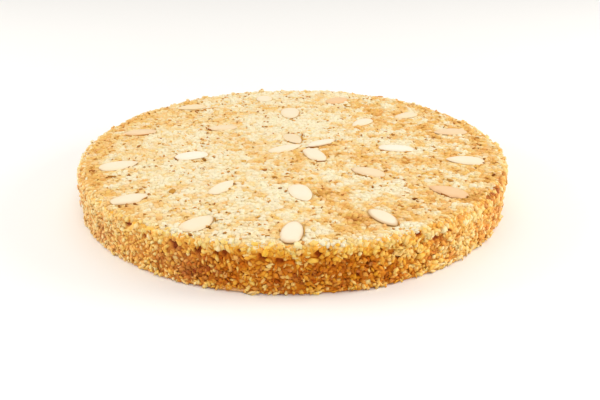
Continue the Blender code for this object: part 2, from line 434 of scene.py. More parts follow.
sliceMeasure = {
    "endShare": 0.3,
    "taperScale": 0.62,
    "taperRange": (0.03, 0.3),
}


def measureSlice(number):
    mesh = frame["nodes"][f"almond_slice_{number:02d}"].data
    points = np.unique(np.round(pointsOf(mesh), 7), axis=0)
    middle = (points.min(0) + points.max(0)) / 2
    _, axes = np.linalg.eigh(np.cov((points - middle).T))
    up = axes[:, 0] * (1 if axes[2, 0] > 0 else -1)
    along = axes[:, 2]
    across = np.cross(up, along)
    local = (points - middle) @ np.stack([along, across, up]).T
    ahead = local[local[:, 0] > sliceMeasure["endShare"] * local[:, 0].max(), 1]
    behind = local[local[:, 0] < sliceMeasure["endShare"] * local[:, 0].min(), 1]
    if np.ptp(ahead) > np.ptp(behind):
        along, across = -along, -across
        local[:, :2] *= -1
        ahead, behind = behind, ahead
    low, high = local.min(0), local.max(0)
    ratio = np.ptp(ahead) / np.ptp(behind)
    taper = (1 - ratio) / (1 + ratio) / sliceMeasure["taperScale"]
    centre = middle + along * (low[0] + high[0]) / 2 + across * (low[1] + high[1]) / 2 + up * low[2]
    return {
        "number": number,
        "centre": centre,
        "axes": np.stack([along, across, up]),
        "length": high[0] - low[0],
        "width": high[1] - low[1],
        "thickness": high[2] - low[2],
        "taper": float(np.clip(taper, *sliceMeasure["taperRange"])),
    }


sliceCount = sum(name.startswith("almond_slice") for name in frame["nodes"])
slices = [measureSlice(number) for number in range(1, sliceCount + 1)]


def insideSlices(points, margin):
    # how far inside a slice's outline each point is: over 0 is inside
    depth = np.full(len(points), -1.0)
    for item in slices:
        local = (points - item["centre"]) @ item["axes"].T
        along = local[:, 0] / (item["length"] / 2 + margin)
        halfWidth = item["width"] / 2 * (1 - item["taper"] * np.clip(along, -1, 1)) + margin
        depth = np.maximum(depth, 1 - np.hypot(along, local[:, 1] / halfWidth))
    return depth


# The baked tone of the top, with its paler and darker patches

browning = {
    "ground": 0.850,
    # paler and darker patches: x, y and reach in millimetres, change of tone
    "patches": (
        (2, 49, 22, 0.25), (18, 18, 12, 0.14), (58, 10, 12, 0.20), (46, -58, 9, 0.15),
        (-4, -61, 12, 0.20), (-58, -28, 28, 0.09), (-62, 18, 18, 0.10), (-8, 100, 26, 0.10),
        (-30, -95, 16, 0.03), (-44, -86, 10, 0.08), (66, 92, 12, 0.08),
        (15, -27, 8, 0.10), (-34, 40, 9, -0.02), (-2, 16, 10, 0.09), (-36, -10, 13, 0.08),
        (-46, -42, 15, 0.03), (-24, -76, 10, 0.12), (-40, 104, 12, 0.12),
        (66, 1, 8, 0.12), (0, -18, 11, -0.22), (31, -10, 12, -0.24), (92, -18, 15, -0.19),
        (52, -23, 12, -0.12), (74, -64, 9, -0.18), (16, -64, 9, -0.24), (30, -91, 9, -0.42),
        (29, -106, 8, -0.22), (90, -73, 9, -0.13), (54, -77, 11, -0.17),
        (-74, 60, 15, -0.10), (84, 30, 15, -0.19), (67, 45, 10, -0.14), (104, 12, 12, -0.14),
        (-104, -40, 11, -0.18), (-78, -88, 12, -0.06), (54, 66, 15, -0.12), (10, 77, 9, -0.10),
        (-30, 20, 9, -0.10), (-12, 0, 9, -0.12), (80, 72, 10, -0.06), (-108, 8, 15, -0.11),
        (66, -18, 11, -0.18), (12, -46, 8, -0.10), (28, -76, 10, -0.10),
        (-15, 76, 8, -0.10), (-96, 38, 9, -0.08), (47, 45, 10, -0.18),
        (78, 44, 9, -0.12), (-20, 34, 9, 0.14), (80, -40, 12, -0.09), (30, 20, 8, -0.08),
        (102, -26, 10, -0.06), (46, 0, 7, -0.08), (-16, -16, 8, 0.08),
        (-22, -44, 9, 0.08), (100, 78, 10, 0.10), (88, -60, 7, 0.07),
        (-46, -46, 7, -0.07), (0, 74, 7, 0.10),
    ),
    # the edge is browner at the sides than at the front and back
    "edgeLoss": 0.22,
    "edgeBand": (101 * mm, 116 * mm),
    "edgeFrom": (35 * mm, 85 * mm),
    "frontEdgeLift": 0.13,
    "frontEdgeBand": (106 * mm, 113 * mm),
    "frontFrom": (60, 100),
    # strength, width and shift of each layer of unevenness, and how much stronger it is on the right
    "unevenness": ((0.22, 12 * mm, 3.0), (0.31, 5.8 * mm, 8.0), (0.21, 3.4 * mm, 15.0)),
    "moreUnevenRight": 0.30,
    "rightReach": 80 * mm,
    # below this tone, it only darkens half as fast
    "slowBelow": 0.62,
}


def topTone(points):
    tone = np.full(len(points), browning["ground"])
    for x, y, reach, change in browning["patches"]:
        away = np.hypot(points[:, 0] - x * mm, points[:, 1] - y * mm)
        tone += change * np.exp(-((away / (reach * mm)) ** 2))
    radius = np.hypot(points[:, 0], points[:, 1])
    sideways = smoothStep(*browning["edgeFrom"], np.abs(points[:, 0]))
    tone -= browning["edgeLoss"] * sideways * smoothStep(*browning["edgeBand"], radius)
    towardsFront = smoothStep(*browning["frontFrom"], -points[:, 1] / mm)
    tone += browning["frontEdgeLift"] * towardsFront * smoothStep(*browning["frontEdgeBand"], radius)
    layers = browning["unevenness"]
    uneven = sum(strength * noiseAt(points, width, shift) for strength, width, shift in layers)
    tone += uneven * (1 + browning["moreUnevenRight"] * np.clip(points[:, 0] / browning["rightReach"], -1, 1))
    slow = browning["slowBelow"]
    return np.where(tone < slow, slow + 0.5 * (tone - slow), tone)


crust = {
    "seed": 11,
    "rimRadius": 4.2 * mm,
    "topRadius": 119.2 * mm,
    "footRadius": 117.4 * mm,
    "height": 25.7 * mm,
    "topReach": 114.5 * mm,
    # hollows between the chips, set deeper and painted darker as shade: bearing, height and reach in
    # millimetres
    "hollows": (
        (-159.8, 22.5, 1.3), (-152.2, 12.0, 1.1), (-139.8, 24.5, 1.1), (-135.5, 22.0, 1.1),
        (-135.8, 8.5, 1.1), (-131.5, 22.5, 2.0), (-126.0, 19.5, 1.3), (-124.0, 22.5, 1.3),
        (-117.4, 19.4, 2.6), (-114.5, 15.5, 1.1), (-114.2, 21.5, 1.1), (-111.6, 19.6, 2.5),
        (-107.0, 19.5, 1.1), (-105.2, 20.0, 2.0), (-101.8, 22.0, 1.1), (-100.0, 16.5, 1.1),
        (-97.0, 19.6, 2.4), (-93.0, 17.6, 1.8), (-88.2, 21.0, 1.0), (-85.8, 10.0, 1.1),
        (-84.6, 20.8, 2.0), (-82.2, 23.0, 1.1), (-81.2, 14.5, 1.1), (-79.2, 12.6, 1.1), (-75.8, 8.0, 1.1),
        (-73.2, 14.0, 1.3), (-70.6, 20.2, 1.3), (-68.5, 8.5, 1.1), (-66.2, 14.0, 1.1), (-65.5, 21.0, 1.4),
        (-61.0, 23.4, 2.0), (-61.5, 11.0, 1.0), (-59.8, 17.5, 1.1), (-55.4, 18.4, 2.1), (-54.5, 6.0, 1.2),
        (-51.8, 20.0, 1.3), (-45.0, 15.5, 1.1), (-29.8, 10.5, 1.1),
    ),
    # smaller ones strewn at the sides and back: how many, from and to bearing, height and reach
    "moreHollows": 28,
    "hollowBearing": (-50, 230),
    "hollowHeight": (4 * mm, 24 * mm),
    "hollowReach": (0.7 * mm, 1.6 * mm),
    "hollowFlat": 1.15,
    "hollowMargin": 1.1 * mm,
    # painted shade: chips in and round a hollow are darkened by this much, over the hollow's real depth
    "hollowShadeTone": 0.30,
    "hollowDepth": 0.4 * mm,
    "paleShare": 0.19,
    "paleLift": 0.20,
    "paleSoftness": 0.38,
    "softSpread": 0.09,
    "softLimits": (-0.04, 1),
    "softHue": 4.0,
    # paler to the left and right of the front; angles in the notes below are in degrees from the front
    "leftTone": 0.26,
    "rightTone": 0.22,
    "leftFrom": (14, 56),
    "rightFrom": (12, 44),
    # change of tone, then where: from and to, on the left, right or either side, or by share of the way up
    "ramps": (
        (-0.14, ("right", 50, 62), ("right", 90, 72)),
        (-0.26, ("share", 0.74, 0.86), ("right", 25, 45)),
        (-0.18, ("share", 0.70, 0.84), ("left", 16, 34)),
        (0.14, ("aside", 70, 84), ("aside", 130, 100)),
        (0.10, ("share", 0.5, 0.75), ("aside", 62, 84)),
        (0.16, ("share", 0.72, 0.86), ("front", 45, 20)),
        (0.30, ("share", 0.88, 1.0)),
    ),
    # painted shade: the side darker towards the foot and paler higher up, as the light falls
    "footShadeTone": 0.045,
    "upperFrom": (9 * mm, 20 * mm),
    # clumps of paler and darker, prouder and lower chips: tone, more tone higher up, width and relief
    "clumpTone": 0.22,
    "clumpMoreUp": 0.14,
    "clumpWidth": 4.6 * mm,
    "relief": 0.5 * mm,
    "broadTone": 0.20,
    "broadWidth": 13 * mm,
    # the palest tone on the side and how much more on the top, past which it only rises a third as fast
    "palest": 0.71,
    "palestMore": 0.11,
    "pastPalest": 0.35,
    "leftSize": 0.84,
    "rightSize": 1.14,
    "leftHue": 0.6,
    # where the crust left the foot bare: from and to bearing, and up to this height
    "bareFoot": (-106.0, -101.0, 2.0 * mm),
    # the bare strip's tone is darker than the crumb's own: partly painted shade at the foot
    "bareTone": 0.50,
    "bareSoftness": 0.9,
    # paler and darker patches: bearing, height and reach in millimetres, change of tone
    "patches": (
        (-88, 24, 6, 0.12), (-93, 12, 5, 0.06), (-64, 15, 6, 0.10), (-98, 23, 5, 0.08),
        (-110, 23, 6, 0.10), (-48, 9, 9, 0.08), (-79, 17, 4, -0.12), (-66, 5, 5, -0.06),
        (-120, 5, 7, 0.12), (-70, 14, 4, 0.08), (-160, 22, 12, -0.12), (-109, 3, 5, 0.10),
        (-102, 4, 4, 0.07), (-132, 13, 8, 0.05), (-60, 13, 8, 0.04), (-248.5, 25, 4, -0.42),
        (-241, 25, 3, -0.30),
    ),
}


def bearingOf(points):
    # degrees round the cake, cut at the back
    return (np.degrees(np.arctan2(points[:, 1], points[:, 0])) + 270) % 360 - 270


def hollowShare(points, margin=0.0):
    # 1 in the heart of a hollow, falling to 0 round it; a margin makes every hollow that much wider
    draw = random.Random(crust["seed"])
    spots = [(bearing, height * mm, reach * mm) for bearing, height, reach in crust["hollows"]]
    for _ in range(crust["moreHollows"]):
        spots.append([draw.uniform(*crust[key]) for key in ("hollowBearing", "hollowHeight", "hollowReach")])
    share = np.zeros(len(points))
    ragged = 1 + 0.5 * noiseAt(points, 2.4 * mm, 30.0)
    for bearing, height, reach in spots:
        turn = math.radians(bearing)
        spot = np.array((118.6 * mm * math.cos(turn), 118.6 * mm * math.sin(turn), height))
        away = np.linalg.norm((points - spot) * (1, 1, crust["hollowFlat"]), axis=1)
        away = np.maximum(away * ragged - margin, 0)
        share = np.maximum(share, 1 - smoothStep(0.7, 1.15, away / reach))
    return share


def softShare(points):
    # how much less deeply the crust is baked than at the front
    bearing = bearingOf(points) + 90
    left = 0.20 * smoothStep(12, 30, -bearing) + 0.45 * smoothStep(30, 60, -bearing)
    right = 0.28 * smoothStep(20, 50, bearing)
    return left + right + 0.25 * smoothStep(58, 80, np.abs(bearing))


def asideTone(bearing):
    # how much paler the crust is to the left and right of the front
    left = crust["leftTone"] * smoothStep(*crust["leftFrom"], -bearing)
    return left + crust["rightTone"] * smoothStep(*crust["rightFrom"], bearing)


def bareFoot(points):
    low, high, top = crust["bareFoot"]
    bearing = bearingOf(points)
    return (bearing > low) & (bearing < high) & (points[:, 2] < top)


# The cake body, under the crumbs and chips

bodyForm = {
    # the flat base: how far out it is one flat face, where its tone ends, and its tone
    "baseFill": 110 * mm,
    "baseEdge": 116.2 * mm,
    "baseTone": 0.46,
    "baseSoftness": 0.35,
    "voxel": 1.0 * mm,
    "topInset": 0.42 * mm,
    "sideInset": 0.9 * mm,
    "rimFill": 0.3 * mm,
    "hollowInset": 1.6 * mm,
    "pitDepth": 0.35 * mm,
    "pitWidth": 2.6 * mm,
    # the bed round the slices: darker for their browned outline, and partly painted shade along their edges
    "bedBrowningAndShade": 0.66,
    # painted shade: the body between the top crumbs is darkened by this much
    "paintedGapShade": 0.06,
    "sideTone": 0.33,
    # paler up to the rim: the rim's golden crumb, and partly a painted highlight where the side turns to the
    # light
    "rimToneAndHighlight": 0.22,
    "edgeTone": 0.16,
    # painted shade: the tone the body is darkened to inside a hollow, over its real depth
    "hollowShadeTone": 0.15,
    "crumbAbove": 24.2 * mm,
    # heights over which the inset starts, the rim fills out, the top begins and the rim grows paler
    "insetFrom": (0.8 * mm, 2.5 * mm),
    "rimFrom": (19 * mm, 22 * mm),
    "topFrom": (20 * mm, 22 * mm),
    "rimToneFrom": (18.5 * mm, 22 * mm),
    "edgeToneFrom": (22.5 * mm, 24.5 * mm),
}


def gridBody():
    # an even grid over the solid, with one flat face for the middle of its base
    remesh = cakeBody.modifiers.new("even grid", "REMESH")
    remesh.mode = "VOXEL"
    remesh.voxel_size = bodyForm["voxel"]
    applyAll(cakeBody)
    bpy.ops.object.mode_set(mode="EDIT")
    bpy.ops.mesh.select_all(action="DESELECT")
    pickFaces(cakeBody, lambda face: face.normal.z < -0.9 and face.calc_center_median().z < 0.4 * mm
              and face.calc_center_median().xy.length < bodyForm["baseFill"])
    bpy.ops.mesh.delete(type="FACE")
    bpy.ops.mesh.select_all(action="DESELECT")
    bpy.ops.mesh.select_mode(type="EDGE")
    bpy.ops.mesh.select_non_manifold(extend=False, use_wire=False, use_multi_face=False)
    bpy.ops.mesh.edge_face_add()
    bpy.ops.mesh.select_mode(type="FACE")
    bpy.ops.mesh.select_all(action="SELECT")
    bpy.ops.mesh.normals_make_consistent(inside=False)
    bpy.ops.object.mode_set(mode="OBJECT")


def makeCakeBody():
    gridBody()
    mesh = cakeBody.data
    points = pointsOf(mesh)
    normals = np.empty(len(points) * 3, np.float32)
    mesh.vertices.foreach_get("normal", normals)
    normals = normals.reshape(-1, 3)
    raised = smoothStep(*bodyForm["insetFrom"], points[:, 2])
    upward = smoothStep(0.35, 0.9, normals[:, 2]) * smoothStep(*bodyForm["topFrom"], points[:, 2])
    inset = bodyForm["sideInset"] + (bodyForm["topInset"] - bodyForm["sideInset"]) * upward
    hollow = hollowShare(points)
    inset -= bodyForm["rimFill"] * smoothStep(*bodyForm["rimFrom"], points[:, 2]) * (1 - upward)
    inset += bodyForm["hollowInset"] * hollow * (1 - upward)
    cells = noiseAt(points, bodyForm["pitWidth"], 1.0)
    fine = noiseAt(points, 0.5 * bodyForm["pitWidth"], 5.0)
    pits = bodyForm["pitDepth"] * (0.7 * cells + 0.3 * fine)
    under = insideSlices(points, 0.4 * mm) > 0
    inset = np.where(under & (upward > 0.5), 0.15 * mm, inset)
    pits = np.where(under, 0.0, pits)
    points = points - normals * ((inset - pits) * raised)[:, None]
    points[:, 2] = np.maximum(points[:, 2], 0)
    setPoints(mesh, points)
    # upper side and rim paler: partly a painted highlight
    sideTone = bodyForm["sideTone"] + bodyForm["rimToneAndHighlight"] * smoothStep(*bodyForm["rimToneFrom"], points[:, 2])
    sideTone += bodyForm["edgeTone"] * smoothStep(*bodyForm["edgeToneFrom"], points[:, 2])
    sideTone += 0.75 * asideTone(bearingOf(points) + 90)
    # painted shade in the hollows
    sideTone += (bodyForm["hollowShadeTone"] - sideTone) * smoothStep(0.1, 0.6, hollow)
    # on the top, the body between the crumbs is darkened as painted shade
    tone = np.where(upward > 0.5, topTone(points) - bodyForm["paintedGapShade"], sideTone) + 0.06 * cells
    # under and round the slices: browned outline and partly painted shade
    tone = np.where(under, bodyForm["bedBrowningAndShade"], tone)
    # the bare foot: crumb colour, partly painted shade
    tone = np.where(bareFoot(points), crust["bareTone"], tone)
    base = (points[:, 2] < 0.3 * mm) & (np.hypot(points[:, 0], points[:, 1]) < bodyForm["baseEdge"])
    tone = np.where(base, bodyForm["baseTone"], tone)
    addAttribute(cakeBody, "tone", np.clip(tone, 0.05, 1))
    soft = np.where(upward > 0.5, 0.0, softShare(points))
    soft = np.where(bareFoot(points), crust["bareSoftness"], soft)
    addAttribute(cakeBody, "soft", np.where(base, bodyForm["baseSoftness"], soft))
    makeActive(cakeBody)
    bpy.ops.object.mode_set(mode="EDIT")
    bpy.ops.mesh.select_all(action="SELECT")
    bpy.ops.mesh.quads_convert_to_tris()
    bpy.ops.object.mode_set(mode="OBJECT")
    bpy.ops.object.shade_smooth()
    finishPiece(cakeBody, nutMaterial, "baked_crumb", "cake")
    mesh.materials.append(crumbMaterial)
    for face in mesh.polygons:
        face.material_index = int(face.normal.z > 0.8 and face.center.z > bodyForm["crumbAbove"])
    print("cake body:", len(mesh.polygons), "triangles")


makeCakeBody()


# Nut and crumb blanks: each is modelled once, then strewn by the thousand

blankForms = {
    # corners round it, size of its top against its foot, shake of its corners
    "grain": ((5, 0.84, 0.08), (5, 0.76, 0.10), (5, 0.88, 0.09), (5, 0.72, 0.10)),
    "bit": ((3, 0.62, 0.12), (4, 0.70, 0.14), (3, 0.78, 0.10)),
    "chip": (
        (4, 0.72, 0.20), (5, 0.70, 0.16), (4, 0.60, 0.22), (5, 0.82, 0.18), (4, 0.84, 0.16), (5, 0.58, 0.18),
    ),
    "sliver": ((3, 0.80, 0.12), (4, 0.55, 0.14), (4, 0.70, 0.16)),
}


def nutBlank(corners, narrow, shake, seed, domed):
    deselectAll()
    bpy.ops.mesh.primitive_cylinder_add(vertices=corners, radius=0.55, depth=1.0)
    blank = bpy.context.object
    bpy.ops.object.mode_set(mode="EDIT")
    bpy.ops.mesh.select_all(action="DESELECT")
    pickFaces(blank, lambda face: face.normal.z > 0.9)
    bpy.ops.transform.resize(value=(narrow, narrow, 1))
    if domed:
        bpy.ops.mesh.poke(offset=0.14)
    bpy.ops.mesh.select_all(action="SELECT")
    bpy.ops.transform.vertex_random(offset=shake, seed=seed)
    bpy.ops.mesh.quads_convert_to_tris()
    bpy.ops.object.mode_set(mode="OBJECT")
    points = pointsOf(blank.data)
    triangles = np.array([list(face.vertices) for face in blank.data.polygons])
    bpy.data.objects.remove(blank, do_unlink=True)
    return points, triangles


blanks = {
    kind: [nutBlank(*form, 7 + 3 * turn, kind == "grain") for turn, form in enumerate(forms)]
    for kind, forms in blankForms.items()
}


def basisFor(normals):
    # two directions along the surface at each normal
    helper = np.tile((0.0, 0.0, 1.0), (len(normals), 1))
    helper[np.abs(normals[:, 2]) > 0.9] = (0.0, 1.0, 0.0)
    first = np.cross(helper, normals)
    first /= np.linalg.norm(first, axis=1)[:, None]
    return first, np.cross(normals, first)


def turnedAxes(normals, spin, tiltA, tiltB):
    # rows of each matrix: where the blank's x, y and z point
    first, second = basisFor(normals)
    cosine, sine = np.cos(spin)[:, None], np.sin(spin)[:, None]
    x, y, z = first * cosine + second * sine, second * cosine - first * sine, normals
    cosine, sine = np.cos(tiltA)[:, None], np.sin(tiltA)[:, None]
    y, z = y * cosine + z * sine, z * cosine - y * sine
    cosine, sine = np.cos(tiltB)[:, None], np.sin(tiltB)[:, None]
    x, z = x * cosine - z * sine, z * cosine + x * sine
    return np.stack([x, y, z], axis=1)


strewing = {
    "lowestPlace": 0.06 * mm,
    "hueLimits": (-1.4, 1.5),
}


def upright(count):
    return np.tile((0.0, 0.0, 1.0), (count, 1))


def strew(
    name, kinds, kindOf, centres, axes, sizes, tones, material, paintedShadeLift=0.05, hueLift=0.0, soft=None
):
    # one mesh of many copies; each lies with its own z out of the surface
    allPoints, allFaces, allTones, allHues, allSoft, start = [], [], [], [], [], 0
    soft = np.zeros(len(centres)) if soft is None else soft
    hues = np.random.default_rng(len(centres)).normal(0, 1, len(centres))
    hues = hues.clip(*strewing["hueLimits"]) + hueLift
    for turn, (points, triangles) in enumerate(kinds):
        chosen = np.flatnonzero(kindOf == turn)
        if not len(chosen):
            continue
        local = points[None] * sizes[chosen][:, None]
        placed = np.einsum("nvi,nij->nvj", local, axes[chosen]) + centres[chosen][:, None]
        lowest = placed[:, :, 2].min(1)
        placed[:, :, 2] += np.maximum(0, strewing["lowestPlace"] - lowest)[:, None]
        # painted shade: each bit is darker at its foot and paler at its top by this lift
        shade = tones[chosen][:, None] + paintedShadeLift * (2 * points[:, 2])[None]
        count = len(points)
        allHues.append(np.repeat(hues[chosen], count))
        allSoft.append(np.repeat(soft[chosen], count))
        faces = triangles[None] + (start + count * np.arange(len(chosen)))[:, None, None]
        allPoints.append(placed.reshape(-1, 3))
        allFaces.append(faces.reshape(-1, 3))
        allTones.append(shade.ravel())
        start += count * len(chosen)
    mesh = bpy.data.meshes.new(name)
    mesh.from_pydata(np.concatenate(allPoints).tolist(), [], np.concatenate(allFaces).tolist())
    piece = bpy.data.objects.new(name, mesh)
    bpy.context.scene.collection.objects.link(piece)
    addAttribute(piece, "tone", np.clip(np.concatenate(allTones), 0, 1))
    addAttribute(piece, "hue", np.concatenate(allHues))
    addAttribute(piece, "soft", np.concatenate(allSoft))
    mesh.shade_smooth()
    finishPiece(piece, material, "baked_crumb")
    print(name + ":", len(centres), "pieces,", len(mesh.polygons), "triangles")


# Crumbs over the whole top

topLayers = (
    {
        "name": "topCrumbs", "seed": 5, "kind": "grain", "spacing": 2.6 * mm, "reach": 116.8 * mm,
        "length": (2.2 * mm, 4.0 * mm), "width": (1.9 * mm, 3.1 * mm), "thickness": (0.9 * mm, 1.4 * mm),
        "proud": (-0.24 * mm, 0.16 * mm), "jitter": 0.38, "missing": 0.04, "tilt": 18.0,
        "sliceGap": 0.9 * mm, "toneSpread": 0.015,
        "golden": (0.05, 0.12), "moreGolden": 0.16, "brown": (0.03, 0.26),  # share of them, loss of tone
    },
    {
        "name": "topGrains", "seed": 6, "kind": "bit", "spacing": 2.6 * mm, "reach": 116.8 * mm,
        "length": (1.3 * mm, 2.8 * mm), "width": (0.9 * mm, 1.8 * mm), "thickness": (0.6 * mm, 0.9 * mm),
        "proud": (-0.10 * mm, 0.16 * mm), "jitter": 0.5, "missing": 0.50, "tilt": 16.0,
        "sliceGap": 0.4 * mm, "toneSpread": 0.015,
        "golden": (0.04, 0.12), "moreGolden": 0.14, "brown": (0.08, 0.36),
    },
)


def jitteredGrid(spacing, reach, jitter, draw):
    rows = int(reach / (spacing * math.sqrt(0.75))) + 1
    columns = int(reach / spacing) + 1
    across, along = np.meshgrid(np.arange(-columns, columns + 1), np.arange(-rows, rows + 1))
    x = (across + 0.5 * (along % 2)) * spacing
    y = along * spacing * math.sqrt(0.75)
    spots = np.stack([x.ravel(), y.ravel()], axis=1)
    spots += draw.uniform(-jitter, jitter, spots.shape) * spacing
    return spots[np.hypot(spots[:, 0], spots[:, 1]) < reach]


def castDown(spots):
    hits = [cakeSurface.ray_cast(Vector((x, y, 0.05)), Vector((0, 0, -1))) for x, y in spots]
    points = np.array([hit[0] for hit in hits])
    normals = np.array([hit[1] for hit in hits])
    return points, normals


def makeTopCrumbs(form):
    draw = np.random.default_rng(form["seed"])
    spots = jitteredGrid(form["spacing"], form["reach"], form["jitter"], draw)
    points, normals = castDown(spots)
    keep = (insideSlices(points, form["sliceGap"]) <= 0) & (draw.random(len(points)) > form["missing"])
    points, normals = points[keep], normals[keep]
    count = len(points)
    sizes = np.stack([draw.uniform(*form[key], count) for key in ("length", "width", "thickness")], axis=1)
    gentle = upright(count) * 0.6 + 0.4 * normals
    gentle /= np.linalg.norm(gentle, axis=1)[:, None]
    tilt = math.radians(form["tilt"])
    tilts = draw.normal(0, tilt / 2, (2, count)).clip(-tilt, tilt)
    axes = turnedAxes(gentle, draw.uniform(0, 2 * math.pi, count), *tilts)
    centres = points + gentle * (draw.uniform(*form["proud"], count) - 0.5 * sizes[:, 2])[:, None]
    tones = topTone(points) + draw.normal(0, form["toneSpread"], count)
    for key, more in (("golden", form["moreGolden"] * smoothStep(0.84, 0.66, tones)), ("brown", 0)):
        share, loss = form[key]
        tones -= np.where(draw.random(count) < share + more, loss * draw.uniform(0.5, 1.2, count), 0)
    kinds = blanks[form["kind"]]
    kindOf = draw.integers(0, len(kinds), count)
    strew(form["name"], kinds, kindOf, centres, axes, sizes, tones, crumbMaterial, paintedShadeLift=0.02)


for layer in topLayers:
    makeTopCrumbs(layer)


# Chopped almond on the side and round the rim

def crustPath(share):
    # from the foot, up the side, round the rim and a little way in over the top
    form = crust
    sideLength = form["height"] - form["rimRadius"] - 0.6 * mm
    arcLength = form["rimRadius"] * math.pi / 2
    topLength = form["topRadius"] - form["rimRadius"] - form["topReach"]
    place = share * (sideLength + arcLength + topLength)
    if place < sideLength:
        height = 0.6 * mm + place
        radius = form["footRadius"] + (form["topRadius"] - form["footRadius"]) * height / form["height"]
        return radius, height, 1.0, 0.0
    place -= sideLength
    if place < arcLength:
        angle = place / form["rimRadius"]
        across, up = math.cos(angle), math.sin(angle)
        radius = form["topRadius"] - form["rimRadius"] + form["rimRadius"] * across
        return radius, form["height"] - form["rimRadius"] + form["rimRadius"] * up, across, up
    return form["topRadius"] - form["rimRadius"] - (place - arcLength), form["height"], 0.0, 1.0


def crustSpots(spacing, jitter, draw, span):
    low, high = span
    rows = max(1, round(29 * mm * (high - low) / spacing))
    around = int(2 * math.pi * crust["topRadius"] / spacing)
    points, normals, shares = [], [], []
    for row in range(rows):
        for step in range(around):
            share = low + (high - low) * (row + 0.5 + draw.uniform(-jitter, jitter)) / rows
            bearing = 2 * math.pi * (step + 0.5 * (row % 2) + draw.uniform(-jitter, jitter)) / around
            radius, height, out, up = crustPath(min(max(share, 0.0), 1.0))
            outward = Vector((out * math.cos(bearing), out * math.sin(bearing), up))
            start = Vector((radius * math.cos(bearing), radius * math.sin(bearing), height))
            hit, normal, _, _ = cakeSurface.ray_cast(start + outward * 6 * mm, -outward)
            if hit:
                points.append(hit)
                normals.append((normal + 2 * outward).normalized())
                shares.append(share)
    return np.array(points), np.array(normals), np.array(shares)


crustLayers = (
    {
        "name": "crustUnder", "seed": 21, "spacing": 2.8 * mm, "jitter": 0.45, "span": (0.0, 1.0),
        "length": (2.4 * mm, 4.2 * mm), "width": (1.8 * mm, 3.0 * mm), "thickness": (1.0 * mm, 1.6 * mm),
        "proud": (-0.50 * mm, 0.05 * mm), "tilt": 18.0, "tone": 0.33, "toneSpread": 0.04, "rimToneAndHighlight": 0.21,
        "footTone": 0.0, "sliverShare": 0.1, "inHollows": True,
    },
    {
        "name": "crustChips", "seed": 22, "spacing": 2.15 * mm, "jitter": 0.48, "span": (0.0, 1.0),
        "length": (1.8 * mm, 4.1 * mm), "width": (1.2 * mm, 2.7 * mm), "thickness": (0.9 * mm, 1.6 * mm),
        "proud": (-0.45 * mm, 0.45 * mm), "tilt": 18.0, "tone": 0.37, "toneSpread": 0.035, "rimToneAndHighlight": 0.19,
        "footTone": 0.06, "sliverShare": 0.26, "inHollows": False,
    },
    {
        "name": "crustLumps", "seed": 23, "spacing": 6.2 * mm, "jitter": 0.5, "span": (0.05, 0.95),
        "length": (3.0 * mm, 5.2 * mm), "width": (1.9 * mm, 3.3 * mm), "thickness": (1.1 * mm, 1.9 * mm),
        "proud": (0.0 * mm, 0.7 * mm), "tilt": 19.0, "tone": 0.44, "toneSpread": 0.08, "rimToneAndHighlight": 0.16,
        "footTone": 0.06, "sliverShare": 0.22, "inHollows": False,
    },
    {
        "name": "footFlakes", "seed": 24, "spacing": 2.6 * mm, "jitter": 0.5, "span": (0.0, 0.1),
        "length": (2.2 * mm, 4.6 * mm), "width": (1.3 * mm, 2.6 * mm), "thickness": (0.6 * mm, 1.1 * mm),
        "proud": (0.1 * mm, 1.1 * mm), "tilt": 60.0, "tone": 0.66, "toneSpread": 0.10, "rimToneAndHighlight": 0.0,
        "footTone": 0.0, "sliverShare": 0.3, "inHollows": True,
    },
)


def crustTones(form, points, shares, hollow, clumps, draw):
    # how pale each chip is, and how much less deeply baked
    count = len(points)
    bearing = bearingOf(points)
    aside = bearing + 90
    # chips in a hollow are darkened as painted shade
    tones = form["tone"] + draw.normal(0, form["toneSpread"], count) - crust["hollowShadeTone"] * hollow
    pale = draw.random(count) < crust["paleShare"]
    tones += np.where(pale, crust["paleLift"], 0)
    less = draw.normal(0, crust["softSpread"], count).clip(*crust["softLimits"])
    less += np.where(pale, crust["paleSoftness"], 0)
    upper = smoothStep(*crust["upperFrom"], points[:, 2])
    tones += (crust["clumpTone"] + crust["clumpMoreUp"] * upper) * clumps
    tones += crust["broadTone"] * noiseAt(points, crust["broadWidth"], 9.0)
    # the first term is painted shade: darker low on the side, paler higher up
    tones += crust["footShadeTone"] * (2 * upper - 1) * (shares < 0.8) + asideTone(aside)
    measures = {
        "left": -aside, "right": aside, "aside": np.abs(aside), "front": np.abs(aside + 4), "share": shares,
    }
    for change, *limits in crust["ramps"]:
        for measure, start, end in limits:
            change = change * smoothStep(start, end, measures[measure])
        tones += change
    for turn, height, reach, change in crust["patches"]:
        away = np.hypot((bearing - turn) * 2.07, (points[:, 2] / mm - height))  # 2.07 mm to a degree
        tones += change * np.exp(-((away / reach) ** 2))
    # the rim paler: its golden chips, and partly a painted highlight where it turns to the light
    tones += form["rimToneAndHighlight"] * smoothStep(0.62, 0.80, shares)
    tones += form["footTone"] * smoothStep(0.12, 0.03, shares)
    palest = crust["palest"] + crust["palestMore"] * smoothStep(0.88, 1.0, shares)
    return np.where(tones > palest, palest + crust["pastPalest"] * (tones - palest), tones), less


